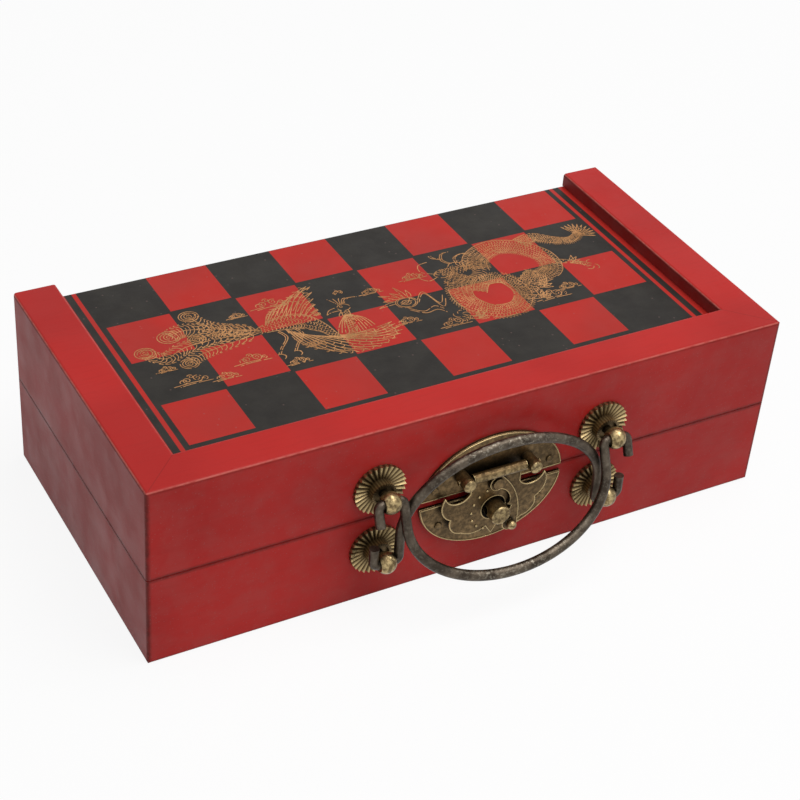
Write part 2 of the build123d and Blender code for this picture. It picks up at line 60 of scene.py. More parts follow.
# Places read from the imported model
front_low, front_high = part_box("base_front_rail")
lid_low, lid_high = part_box("lid_front_rail")
front_y = front_low.y
half_length = front_high.x
case_top = lid_high.z
seam_z = (front_high.z + lid_low.z) / 2
board_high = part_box("lid_board")[1]
back_y = board_high.y
base_board_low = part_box("base_board")[0]
post_low, post_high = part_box("lock_post")
post_radius = (post_high.x - post_low.x) / 2
lock_x = (post_low.x + post_high.x) / 2
lock_z = (post_low.z + post_high.z) / 2
upper_rosette = middle_of("lid_right_rosette")
lower_rosette = middle_of("base_right_rosette")
rosette_x = upper_rosette.x
rosette_middle = (upper_rosette.z + lower_rosette.z) / 2
rosette_spread = (upper_rosette.z - lower_rosette.z) / 2
pleats = 28

# The playing field: four rows of eight squares on each half
square = 22.55 * MM
columns = 8
rows = 4
field_left = -columns / 2 * square
field_front = back_y - rows * square
line_width = 1.0 * MM

# The striped border, measured outwards from the field
stripe_start = 1.5 * MM
stripe_end = 3.0 * MM
border_end = 5.5 * MM
paint_edge = 0.1 * MM


# Small shader toolbox

class Shader:
    """One node material, with short calls for the nodes that it is built from."""

    def __init__(self, name):
        self.material = bpy.data.materials.new(name)
        self.material.use_nodes = True
        self.tree = self.material.node_tree
        self.surface = self.tree.nodes["Principled BSDF"]
        self.place = self.add("ShaderNodeTexCoord").outputs["Object"]
        parts = self.add("ShaderNodeSeparateXYZ", {"Vector": self.place}).outputs
        self.x, self.y, self.z = parts[0], parts[1], parts[2]

    def put(self, socket, value):
        if isinstance(value, bpy.types.NodeSocket):
            self.tree.links.new(value, socket)
        elif isinstance(value, tuple) and len(value) == 3 and socket.type == "RGBA":
            socket.default_value = (*value, 1)
        else:
            socket.default_value = value

    def add(self, kind, inputs=None, **settings):
        node = self.tree.nodes.new(kind)
        for key, value in settings.items():
            setattr(node, key, value)
        for key, value in (inputs or {}).items():
            self.put(node.inputs[key], value)
        return node

    def math(self, operation, *values, clamp=False):
        node = self.add("ShaderNodeMath", dict(enumerate(values)), operation=operation)
        node.use_clamp = clamp
        return node.outputs[0]

    def ramp(self, value, low, high, bottom=0.0, top=1.0):
        """A smooth step of value from low to high, between bottom and top."""
        inputs = {"Value": value, "From Min": low, "From Max": high, "To Min": bottom, "To Max": top}
        return self.add("ShaderNodeMapRange", inputs, interpolation_type="SMOOTHSTEP").outputs[0]

    def near(self, value, place, width):
        """1 where value is at place, fading to 0 at width from it."""
        return self.ramp(self.math("ABSOLUTE", self.math("SUBTRACT", value, place)), width, 0.0)

    def noise(self, size, detail=3.0, rough=0.5, stretch=(1, 1, 1)):
        """Noise with features about size metres across."""
        place = self.place
        if stretch != (1, 1, 1):
            place = self.add("ShaderNodeMapping", {"Vector": place, "Scale": stretch}).outputs[0]
        inputs = {"Vector": place, "Scale": 1 / size, "Detail": detail, "Roughness": rough}
        return self.add("ShaderNodeTexNoise", inputs).outputs[0]

    def mix(self, factor, first, second):
        node = self.add("ShaderNodeMix", data_type="RGBA")
        self.put(node.inputs[0], factor)
        self.put(node.inputs[6], first)
        self.put(node.inputs[7], second)
        return node.outputs[2]

    def specks(self, size, share):
        """Small round spots on a share of the cells that are size metres across."""
        cells = self.add("ShaderNodeTexVoronoi", {"Vector": self.place, "Scale": 1 / size})
        spot = self.ramp(cells.outputs["Distance"], 0.28, 0.12)
        lot = self.add("ShaderNodeSeparateColor", {0: cells.outputs["Color"]}).outputs[0]
        return self.math("MULTIPLY", spot, self.math("LESS_THAN", lot, share))

    def texture(self, coarse, coarse_share, fine, fine_share, detail=3.0):
        """An uneven height: coarse noise with finer noise on it."""
        swell = self.math("MULTIPLY", self.noise(coarse, detail), coarse_share)
        return self.math("ADD", swell, self.math("MULTIPLY", self.noise(fine, 2), fine_share))

    def bump(self, height, distance):
        inputs = {"Height": height, "Distance": distance, "Strength": 1.0}
        return self.add("ShaderNodeBump", inputs).outputs[0]

    def finish(self, color, roughness, metallic=0.0, normal=None, **others):
        self.put(self.surface.inputs["Base Color"], color)
        self.put(self.surface.inputs["Roughness"], roughness)
        self.put(self.surface.inputs["Metallic"], metallic)
        if normal is not None:
            self.put(self.surface.inputs["Normal"], normal)
        for key, value in others.items():
            self.put(self.surface.inputs[key.replace("_", " ")], value)
        return self.material


def linear(red, green, blue):
    """A colour as the eye reads it, 0 to 255, in the linear values that shaders use."""
    return tuple(((v / 255 + 0.055) / 1.055) ** 2.4 if v > 10 else v / 3294 for v in (red, green, blue))


# Lacquered wood

lacquer_red = linear(186, 40, 36)
lacquer_deep = linear(170, 36, 33)
lacquer_end_shade = linear(92, 34, 32)
pale_edge_highlight = linear(208, 118, 106)
edge_brown = linear(66, 26, 20)
dust_tone = linear(142, 112, 108)
square_red = linear(182, 44, 37)
square_red_dull = linear(170, 46, 40)
square_black = linear(34, 31, 28)
square_black_dull = linear(46, 43, 39)
gold_bright = linear(204, 148, 92)
gold_dull = linear(176, 126, 76)
gold_worn = linear(120, 76, 48)
seam_wear = 1.5 * MM
rim_wear = 1.6 * MM
mitre_width = 0.35 * MM


def worn_edges(s):
    """1 along the seam, the top, the foot and the front corners, ragged and fading."""
    end = s.ramp(s.math("ABSOLUTE", s.x), half_length - seam_wear, half_length)
    corner = s.math("MULTIPLY", s.near(s.y, front_y, seam_wear), end)
    edge = s.math("MAXIMUM", s.near(s.z, seam_z, seam_wear), corner)
    for height in (case_top, 0):
        edge = s.math("MAXIMUM", edge, s.near(s.z, height, rim_wear))
    ragged = s.math("MULTIPLY_ADD", s.noise(2.5 * MM, 4, 0.7), 1.6, 0.1)
    return s.math("MULTIPLY", edge, ragged)


def rail_lacquer():
    """Red lacquer: worn brown along its edges, darker on its ends as painted shade and dusty there, a
    painted highlight on its rounded edges, fine specks.
    """
    s = Shader("red_lacquer")
    drift = s.ramp(s.noise(60 * MM, 2), 0.35, 0.65)
    color = s.mix(drift, lacquer_red, lacquer_deep)
    grain = s.ramp(s.noise(1.2 * MM, 4, 0.6, (0.12, 1, 1)), 0.45, 0.75)
    color = s.mix(s.math("MULTIPLY", grain, 0.07), color, edge_brown)
    normal = s.add("ShaderNodeNewGeometry").outputs["Normal"]
    facing = s.add("ShaderNodeSeparateXYZ", {"Vector": normal}).outputs
    lean = s.math("ABSOLUTE", facing[2])
    upright = s.ramp(lean, 0.9, 0.3)
    endwise = s.ramp(s.math("ABSOLUTE", facing[0]), 0.4, 0.9)
    cloud = s.ramp(s.noise(9 * MM, 5, 0.65), 0.35, 0.7)
    # Painted shade: faces that look along X are mixed towards a darker red, as if less lit; dust lies on
    # them too.
    color = s.mix(s.math("MULTIPLY", endwise, 0.42), color, lacquer_end_shade)
    dust = s.math("MULTIPLY", endwise, s.math("MULTIPLY_ADD", cloud, 0.16, 0.06))
    dust = s.math("MAXIMUM", dust, s.math("MULTIPLY", upright, s.math("MULTIPLY", cloud, 0.12)))
    color = s.mix(dust, color, dust_tone)
    wear = s.math("MULTIPLY", upright, worn_edges(s), clamp=True)
    color = s.mix(s.math("MULTIPLY", wear, 0.75), color, edge_brown)
    mitre_x = s.math("SUBTRACT", front_y + half_length, s.y)
    mitre = s.near(s.math("ABSOLUTE", s.x), mitre_x, mitre_width)
    mitre = s.math("MULTIPLY", s.math("SUBTRACT", 1.0, upright), mitre)
    color = s.mix(s.math("MULTIPLY", mitre, 0.35), color, edge_brown)
    # Painted highlight along the rounded edges, where the normal leans between up and sideways, partly pale
    # wear too, broken up by noise.
    turned = s.math("MULTIPLY", s.ramp(lean, 0.45, 0.6), s.ramp(lean, 0.9, 0.78))
    highlight_breaks = s.ramp(s.noise(3 * MM, 3, 0.6), 0.3, 0.6, 0.35, 1.0)
    color = s.mix(s.math("MULTIPLY", turned, s.math("MULTIPLY", highlight_breaks, 0.55)), color, pale_edge_highlight)
    fleck = s.math("MULTIPLY", s.specks(0.9 * MM, 0.35), s.ramp(upright, 0, 1, 0.1, 0.9))
    color = s.mix(s.math("MULTIPLY", fleck, 0.28), color, dust_tone)
    gloss = s.ramp(s.noise(14 * MM, 4), 0.3, 0.7, 0.34, 0.46)
    rough = s.math("ADD", gloss, s.math("MULTIPLY", dust, 0.5))
    skin = s.texture(2.2 * MM, 0.6, 0.5 * MM, 0.25)
    return s.finish(color, rough, normal=s.bump(skin, 0.05 * MM), Specular_IOR_Level=0.13)


def board_lacquer(name, parity):
    """Red and charcoal squares with thin black lines and a striped border."""
    s = Shader(name)
    column = s.math("DIVIDE", s.math("SUBTRACT", s.x, field_left), square)
    row = s.math("DIVIDE", s.math("SUBTRACT", s.y, field_front), square)
    count = s.math("ADD", s.math("FLOOR", column), s.math("FLOOR", row))
    odd = s.math("GREATER_THAN", s.math("FLOORED_MODULO", s.math("ADD", count, parity), 2.0), 0.5)
    margin = line_width / 2 / square
    soft = 0.12 * margin
    inside = [
        s.ramp(s.math("PINGPONG", along, 0.5), margin - soft, margin + soft)
        for along in (column, row)
    ]
    red = s.math("MULTIPLY", odd, s.math("MULTIPLY", *inside))
    aside = s.math("SUBTRACT", s.math("ABSOLUTE", s.x), -field_left)
    ahead = s.math("SUBTRACT", field_front, s.y)
    out = s.math("MAXIMUM", aside, ahead)
    stripe = s.math(
        "MULTIPLY",
        s.ramp(out, stripe_start - paint_edge, stripe_start + paint_edge),
        s.ramp(out, stripe_end + paint_edge, stripe_end - paint_edge),
    )
    border = s.math("MAXIMUM", stripe, s.ramp(out, border_end - paint_edge, border_end + paint_edge))
    within = s.math("LESS_THAN", out, 0.0)
    framed = s.math("MULTIPLY", border, s.math("SUBTRACT", 1.0, within))
    red = s.math("ADD", s.math("MULTIPLY", red, within), framed)
    drift = s.ramp(s.noise(35 * MM, 3), 0.35, 0.65)
    paint = s.mix(drift, square_red, square_red_dull)
    coal = s.mix(s.ramp(s.noise(12 * MM, 5, 0.65), 0.3, 0.7), square_black, square_black_dull)
    color = s.mix(red, coal, paint)
    rub = s.ramp(s.noise(0.9 * MM, 4, 0.7), 0.6, 0.85)
    color = s.mix(s.math("MULTIPLY", rub, 0.1), color, dust_tone)
    color = s.mix(s.math("MULTIPLY", s.specks(1.5 * MM, 0.05), 0.25), color, dust_tone)
    rough = s.ramp(s.noise(8 * MM, 4), 0.3, 0.7, 0.36, 0.5)
    skin = s.texture(1.6 * MM, 0.5, 0.35 * MM, 0.3, 4)
    skin = s.math("ADD", skin, s.math("MULTIPLY", red, 0.3))
    return s.finish(color, rough, normal=s.bump(skin, 0.05 * MM), Specular_IOR_Level=0.12)


def gold_ink():
    """Thin gold lines, duller where they are rubbed."""
    s = Shader("gold_ink")
    tone = s.ramp(s.noise(7 * MM, 3), 0.35, 0.65)
    color = s.mix(tone, gold_bright, gold_dull)
    rubbed = s.ramp(s.noise(0.7 * MM, 3, 0.7), 0.42, 0.66)
    color = s.mix(s.math("MULTIPLY", rubbed, 0.55), color, gold_worn)
    return s.finish(color, s.ramp(tone, 0, 1, 0.45, 0.58), 0.2, Specular_IOR_Level=0.3)


# Metals

brass_dark = linear(40, 31, 19)
brass_body = linear(143, 117, 80)
brass_bright = linear(228, 204, 150)
bronze_dark = linear(58, 50, 42)
bronze_light = linear(96, 86, 74)
bronze_silver = linear(168, 160, 144)
bronze_pit = linear(36, 29, 23)
steel_dark = linear(120, 116, 110)
steel_light = linear(158, 154, 148)


def cavities(s, reach):
    """1 in the open, falling to 0 in grooves and corners narrower than reach."""
    return s.add("ShaderNodeAmbientOcclusion", {"Distance": reach}, samples=8).outputs["AO"]


def edges(s, radius):
    """1 on sharp edges, from how far a rounded normal leans from the true one."""
    flat = s.add("ShaderNodeNewGeometry").outputs["Normal"]
    round_normal = s.add("ShaderNodeBevel", {"Radius": radius}, samples=6).outputs[0]
    normals = {0: flat, 1: round_normal}
    lean = s.add("ShaderNodeVectorMath", normals, operation="DOT_PRODUCT").outputs["Value"]
    return s.ramp(lean, 0.985, 0.86)


def antique_brass(name="antique_brass", polish=0.0, pleated=False):
    """Aged brass: nearly black in the hollows and beside raised parts, as patina and painted shade, pale
    gold where hands have rubbed it, and on the rosettes a painted highlight on the pleat ridges.
    """
    s = Shader(name)
    # Dark in hollows and beside raised parts, from ambient occlusion: patina, and painted shade.
    open_air = s.ramp(cavities(s, 3.2 * MM), 0.3, 0.95)
    cloud = s.ramp(s.noise(1.5 * MM, 5, 0.65), 0.35, 0.7)
    bare_and_unshaded = s.math("MULTIPLY", open_air, s.math("MULTIPLY_ADD", cloud, 0.55, 0.3 + polish), clamp=True)
    reach = s.math("SUBTRACT", front_y, s.y)
    proud = s.math("MULTIPLY", s.ramp(reach, 5.4 * MM, 6.6 * MM), s.ramp(cloud, 0, 1, 0.1, 0.6))
    worn = s.math("MAXIMUM", edges(s, 0.4 * MM), s.math("MAXIMUM", proud, polish))
    rubbed = s.math("MULTIPLY", worn, open_air)
    # On the rosettes the pale gold is a painted highlight on the pleat ridges, and the valleys between them
    # are darkened as painted shade.
    if pleated:
        rubbed = s.math("MULTIPLY", pleat_ridges(s), s.ramp(open_air, 0, 1, 0.22, 0.45))
        bare_and_unshaded = s.math("MULTIPLY", s.ramp(bare_and_unshaded, 0, 1, 0.45, 1.0), s.ramp(rubbed, 0, 0.5, 0.68, 1.0))
    stain = s.ramp(s.noise(7 * MM, 3, 0.6), 0.4, 0.62, 0.72, 1.0)
    color = s.mix(s.math("MULTIPLY", bare_and_unshaded, stain), brass_dark, brass_body)
    color = s.mix(s.math("MULTIPLY", rubbed, 0.85), color, brass_bright)
    pit = s.ramp(s.noise(0.5 * MM, 3, 0.6), 0.6, 0.72)
    color = s.mix(s.math("MULTIPLY", pit, 0.4), color, brass_dark)
    rough = s.math("SUBTRACT", s.ramp(bare_and_unshaded, 0, 1, 0.46, 0.28), s.math("MULTIPLY", rubbed, 0.06))
    dent = s.texture(1.1 * MM, 0.7, 0.28 * MM, 0.3)
    return s.finish(color, rough, 0.92, s.bump(dent, 0.06 * MM))


def pleat_ridges(s):
    """1 along the ridges of the pleats of all four rosettes, which mirror each other, for a painted
    highlight.
    """
    across = s.math("SUBTRACT", s.math("ABSOLUTE", s.math("SUBTRACT", s.x, lock_x)), rosette_x - lock_x)
    up = s.math("SUBTRACT", s.math("ABSOLUTE", s.math("SUBTRACT", s.z, rosette_middle)), rosette_spread)
    wave = s.math("COSINE", s.math("MULTIPLY", s.math("ARCTAN2", up, across), float(pleats)))
    ridge = s.ramp(wave, -0.6, 0.95)
    reach = s.math("SQRT", s.math("ADD", s.math("MULTIPLY", across, across), s.math("MULTIPLY", up, up)))
    outer = s.ramp(reach, 4.2 * MM, 6.5 * MM, 0.45, 1.0)
    return s.math("MULTIPLY", ridge, outer)


def dark_metal():
    """Bronzed steel of the handles: speckled, with silver showing on the bows."""
    s = Shader("dark_metal")
    cloud = s.ramp(s.noise(5 * MM, 4, 0.6), 0.35, 0.7)
    color = s.mix(cloud, bronze_dark, bronze_light)
    worn = s.ramp(s.noise(0.9 * MM, 3, 0.7), 0.5, 0.68)
    bow = s.ramp(s.math("ABSOLUTE", s.math("SUBTRACT", s.x, lock_x)), 30 * MM, 8 * MM)
    silver = s.math("MULTIPLY", worn, s.math("MULTIPLY_ADD", bow, 0.35, 0.15))
    color = s.mix(silver, color, bronze_silver)
    pits = s.ramp(s.noise(0.45 * MM, 3, 0.6), 0.6, 0.72)
    color = s.mix(s.math("MULTIPLY", pits, 0.6), color, bronze_pit)
    rough = s.ramp(cloud, 0, 1, 0.36, 0.46)
    dent = s.math("SUBTRACT", s.noise(1.4 * MM, 4, 0.6), s.math("MULTIPLY", pits, 0.4))
    return s.finish(color, rough, 0.9, s.bump(dent, 0.09 * MM))


def plain_steel():
    """Bare steel of the hinge pins, faintly streaked."""
    s = Shader("hinge_steel")
    streak = s.ramp(s.noise(0.6 * MM, 3, 0.6, (0.1, 1, 1)), 0.35, 0.65)
    color = s.mix(streak, steel_dark, steel_light)
    return s.finish(color, s.ramp(streak, 0, 1, 0.3, 0.42), 1.0, s.bump(streak, 0.02 * MM))


felt_red = linear(92, 14, 24)
felt_shade = linear(66, 8, 16)
felt_tip = linear(128, 34, 44)


def felt():
    """Short dark red pile that is lighter where it leans."""
    s = Shader("lining_felt")
    nap = s.noise(0.45 * MM, 4, 0.75)
    lie = s.ramp(s.noise(9 * MM, 3), 0.35, 0.65)
    color = s.mix(lie, felt_red, felt_shade)
    color = s.mix(s.math("MULTIPLY", s.ramp(nap, 0.45, 0.8), 0.5), color, felt_tip)
    rough = s.ramp(nap, 0.3, 0.7, 0.85, 0.98)
    pile = {"Sheen_Weight": 0.15, "Sheen_Tint": (0.5, 0.1, 0.12), "Specular_IOR_Level": 0.1}
    return s.finish(color, rough, normal=s.bump(nap, 0.25 * MM), **pile)


finishes = {
    "red_lacquer": rail_lacquer(),
    "antique_brass": antique_brass(),
    "dark_metal": dark_metal(),
    "hinge_steel": plain_steel(),
    "lining": felt(),
}
ink = gold_ink()
polished = antique_brass("rubbed_brass", polish=0.5)
pleated = antique_brass("pleated_brass", pleated=True)
own_finish = {
    "lid_board": board_lacquer("lid_squares", 1.0),
    "base_board": board_lacquer("base_squares", 0.0),
}
for half in ("lid", "base"):
    for side in ("left", "right"):
        own_finish[f"{half}_{side}_rosette"] = pleated


def dress_nodes():
    """Give every CAD node the finish of its material slot."""
    for part in frame["record"]["subparts"]:
        node = frame["nodes"][part["node"]]
        finish = own_finish.get(part["node"]) or finishes[part["material_slot"]]
        if not node.material_slots:
            node.data.materials.append(finish)
        for slot in node.material_slots:
            slot.material = finish


dress_nodes()


# Building and placing pieces

def mesh_of(bm, name, smooth=True):
    """The finished mesh of a bmesh, which is freed."""
    mesh = bpy.data.meshes.new(name)
    bm.to_mesh(mesh)
    bm.free()
    for face in mesh.polygons:
        face.use_smooth = smooth
    return mesh


def place(mesh, name, body, material, slot):
    """Make an object of a mesh, dress it and let it ride on a body."""
    piece = bpy.data.objects.new(name, mesh)
    bpy.context.scene.collection.objects.link(piece)
    mesh.materials.append(material)
    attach(piece, body)
    return piece


# Gold drawing on the board: a phoenix, a flaming pearl and a dragon among clouds. Its
# points are counted in squares, from the left front corner of the field. The strokes lie
# on close levels, because crossing ribbons at one height would flicker.

stroke_width = 0.3 * MM
ink_lift = 0.03 * MM
ink_step = 0.002 * MM
ink_levels = 16
least_step = 0.0001 * MM


def curve(points, steps=8):
    """A smooth line through the points, as a list of (column, row)."""
    line = []
    ends = [points[0], *points, points[-1]]
    for a, b, c, d in zip(ends, ends[1:], ends[2:], ends[3:]):
        for n in range(steps):
            t = n / steps
            weights = (
                ((2 - t) * t - 1) * t / 2,
                ((3 * t - 5) * t * t + 2) / 2,
                ((4 - 3 * t) * t + 1) * t / 2,
                (t - 1) * t * t / 2,
            )
            line.append(tuple(sum(w * p[k] for w, p in zip(weights, (a, b, c, d))) for k in (0, 1)))
    line.append(points[-1])
    return line


def arc(centre, radius, start, end, squash=1.0, steps=14):
    span = [start + (end - start) * n / steps for n in range(steps + 1)]
    return [(centre[0] + radius * cos(a), centre[1] + radius * squash * sin(a)) for a in span]


def ring(centre, radius, steps=16):
    return arc(centre, radius, 0, 2 * pi, steps=steps)


def spiral(centre, radius, turns, start=0.0, hand=1):
    steps = int(turns * 14)
    line = []
    for n in range(steps + 1):
        reach = radius * (1 - n / steps * 0.85)
        angle = start + hand * 2 * pi * turns * n / steps
        line.append((centre[0] + reach * cos(angle), centre[1] + reach * sin(angle)))
    return line


def walk(line, share):
    """The point at a share of a line, and the unit direction there."""
    place_on = min(max(share, 0.0), 1.0) * (len(line) - 1)
    n = min(int(place_on), len(line) - 2)
    t = place_on - n
    (ax, ay), (bx, by) = line[n], line[n + 1]
    run = hypot(bx - ax, by - ay) or 1
    return (ax + (bx - ax) * t, ay + (by - ay) * t), ((bx - ax) / run, (by - ay) / run)


def beside(line, share, offset):
    (x, y), (dx, dy) = walk(line, share)
    return x - dy * offset, y + dx * offset


def cloud(centre, size):
    """Curls heaped on a trailing tail."""

    def at(along, up):
        return centre[0] + size * along, centre[1] + size * up

    return [
        spiral(at(-0.55, 0), size * 0.4, 1.6, -pi / 2, -1),
        spiral(at(0.35, 0.08), size * 0.48, 1.7, -pi / 2, 1),
        spiral(at(-0.1, 0.42), size * 0.3, 1.3, pi, -1),
        spiral(at(0.95, -0.12), size * 0.28, 1.2, -pi / 2, 1),
        arc(at(-0.95, -0.1), size * 0.25, 0.4, 3.6),
        curve([at(-1.9, -0.5), at(-0.6, -0.4), at(0.6, -0.42)]),
        curve([at(-1.4, -0.66), at(-0.2, -0.56), at(1.5, -0.6)]),
    ]


def flame(root, angle, length, width):
    """A tongue with a curled tip."""
    x, y = root
    c, s = cos(angle), sin(angle)

    def turned(along, across):
        return x + along * c - across * s, y + along * s + across * c

    return [
        curve([turned(0, -width), turned(length * 0.4, -width * 1.2), turned(length, width * 0.5)]),
        curve([turned(0, width), turned(length * 0.4, width * 0.7), turned(length, width * 0.5)]),
    ]


def scales(line, start, end, stations, girth, rows, size=0.45):
    """Rows of small scale arcs along a body."""
    strokes = []
    for n in range(stations):
        share = start + (end - start) * n / stations
        wide = girth(share)
        _, (dx, dy) = walk(line, share)
        turn = atan2(dy, dx)
        for row in range(rows):
            across = (row + 0.5) / rows * 2 - 1
            shift = (end - start) / stations * (0.5 if row % 2 else 0.0)
            centre = beside(line, share + shift, wide * across * 0.9)
            strokes.append(arc(centre, wide / rows * 2 * size, turn - 1.4, turn + 1.4, steps=5))
    return strokes


def outline(line, girth, steps=40):
    """The two sides of a body that is as thick as girth says along its line."""
    shares = [n / steps for n in range(steps + 1)]
    return [[beside(line, share, side * girth(share)) for share in shares] for side in (-1, 1)]


def pearl(centre, radius):
    """A pearl in an oval ring with flames above and ribbons trailing off it."""
    x, y = centre
    strokes = [arc(centre, radius * share, 0, 2 * pi, 0.8, 24) for share in (1, 0.84, 0.42)]
    for n in (-1, 1):
        left = (x - radius * 0.6, y - 0.03 * n)
        right = (x + radius * 0.6, y + 0.05 - 0.04 * n)
        strokes.append(curve([left, (x, y + 0.02 * n), right]))
    for n in range(6):
        angle = 0.9 + 2.3 * n / 6
        root = (x + radius * 1.05 * cos(angle), y + radius * 0.9 * sin(angle))
        strokes += flame(root, angle + 0.45, radius * (1.7 if n % 2 else 1.1), radius * 0.16)
    for low, drop in ((0.0, 0.0), (0.05, -0.1)):
        strokes.append(curve([
            (x + radius, y - 0.02 - low), (x + radius * 2.1, y + 0.16 - low),
            (x + radius * 2.7, y - 0.2 + drop), (x + radius * 3.5, y - 0.02 + drop),
        ]))
        strokes.append(curve([
            (x - radius * 0.3, y - radius * 0.85 - low), (x + radius * 0.8, y - radius * 1.8 - low),
            (x + radius * 2.0, y - radius * 1.4 + drop), (x + radius * 2.6, y - radius * 2.1 + drop),
        ]))
    return strokes


def plume(points, width, barbs):
    """A tail plume: a quill, curled barbs on both sides and an eye at its tip."""
    line = curve(points)
    strokes = [line]
    for n in range(barbs):
        share = 0.1 + 0.86 * n / barbs
        reach = width * (0.75 + 0.25 * sin(pi * share))
        for side in (-1, 1):
            root, _ = walk(line, share)
            middle = beside(line, share - 0.02, side * reach * 0.6)
            tip = beside(line, share - 0.07, side * reach)
            curl = beside(line, share - 0.045, side * reach * 1.12)
            strokes.append(curve([root, middle, tip, curl], 3))
    x, y = line[0]
    strokes += [arc((x, y), width * size, 0, 2 * pi, 0.85, 18) for size in (1.15, 0.85)]
    strokes.append(spiral((x, y), width * 0.6, 1.8, 0.5))
    return strokes


def feathers(roots, tips, count, bend):
    """Wing feathers from a line of roots to a line of tips, each a narrow loop."""
    strokes = []
    for n in range(count):
        share = n / (count - 1)
        root, _ = walk(roots, share)
        tip, _ = walk(tips, share)
        dx, dy = tip[0] - root[0], tip[1] - root[1]
        for side in (0.5, 1.5):
            middle = (root[0] + dx * 0.6 - dy * bend * side, root[1] + dy * 0.6 + dx * bend * side)
            strokes.append(curve([root, middle, tip], 5))
        for part in (0.45, 0.6, 0.75, 0.88):
            spot = (root[0] + dx * part - dy * bend * 0.9, root[1] + dy * part + dx * bend * 0.9)
            turn = atan2(dy, dx)
            strokes.append(arc(spot, 0.035, turn - 1.2, turn + 1.2, steps=4))
    return strokes


def phoenix():
    """Body and long neck with scales, two open wings, crest, legs and five plumes."""
    body = curve([
        (1.95, 2.06), (2.3, 2.12), (2.62, 2.08), (2.85, 1.82),
        (2.98, 1.5), (3.2, 1.5), (3.3, 1.8), (3.36, 2.1),
    ])

    def girth(share):
        return 0.06 + 0.13 * sin(pi * min(1.0, share * 1.7 + 0.06)) ** 2

    strokes = outline(body, girth)
    strokes += scales(body, 0.02, 0.97, 46, girth, 3)
    head = (3.38, 2.16)
    strokes += [
        arc(head, 0.1, 0, 2 * pi, 0.85),
        ring((3.35, 2.19), 0.022, 8),
        curve([(3.3, 2.2), (3.14, 2.16), (3.06, 2.06)]),
        curve([(3.31, 2.1), (3.16, 2.1), (3.06, 2.06)]),
        curve([(3.3, 2.08), (3.22, 1.98), (3.28, 1.9)]),
    ]
    for n in range(6):
        lean = -0.22 + 0.09 * n
        crest = [(3.38 + lean * 0.2, 2.25), (3.42 + lean * 0.6, 2.36), (3.46 + lean, 2.44 - 0.02 * n)]
        strokes.append(curve(crest))
    strokes += cloud((3.48, 2.54), 0.09)[:3]
    for n in range(12):
        side = -1 + 2 * n / 11
        tip = (3.3 + 0.3 * side, 1.5 + 0.08 * abs(side))
        strokes.append(curve([(3.34 + 0.03 * side, 1.98), (3.34 + 0.2 * side, 1.8), tip]))
    strokes += feathers(
        curve([(2.12, 2.16), (2.5, 2.22), (2.82, 2.1)]),
        curve([(2.42, 2.5), (2.78, 2.68), (3.16, 2.88), (3.06, 2.5), (2.98, 2.14)]),
        12, 0.08,
    )
    strokes += feathers(
        curve([(2.35, 1.98), (2.6, 1.72), (2.95, 1.5)]),
        curve([(2.5, 1.42), (2.95, 1.08), (3.5, 1.08), (3.9, 1.3), (3.86, 1.56)]),
        14, -0.07,
    )
    tails = (
        ([(1.2, 2.8), (1.32, 2.5), (1.6, 2.28), (2.0, 2.1)], 0.13, 13),
        ([(0.74, 2.42), (1.0, 2.5), (1.45, 2.34), (2.0, 2.1)], 0.15, 19),
        ([(1.08, 2.22), (1.4, 2.28), (1.7, 2.2), (2.0, 2.08)], 0.12, 15),
        ([(0.28, 2.18), (0.5, 1.95), (0.85, 2.1), (1.4, 2.12), (2.0, 2.06)], 0.13, 21),
        ([(0.76, 1.72), (1.0, 1.86), (1.4, 1.94), (2.0, 2.04)], 0.12, 15),
    )
    for points, width, barbs in tails:
        strokes += plume(points, width, barbs)
    for x in (2.2, 2.45):
        leg = [(x, 1.98), (x + 0.06, 1.78), (x - 0.12, 1.56), (x - 0.22, 1.42)]
        strokes += [curve(leg), curve([(p[0] + 0.035, p[1]) for p in leg])]
        foot_x, foot_y = leg[-1]
        for claw in (-0.6, 0.1, 0.8):
            heel = (foot_x + 0.03 * cos(claw), foot_y - 0.05)
            strokes.append(arc(heel, 0.065, pi / 2, -0.6 + claw, steps=6))
    return strokes


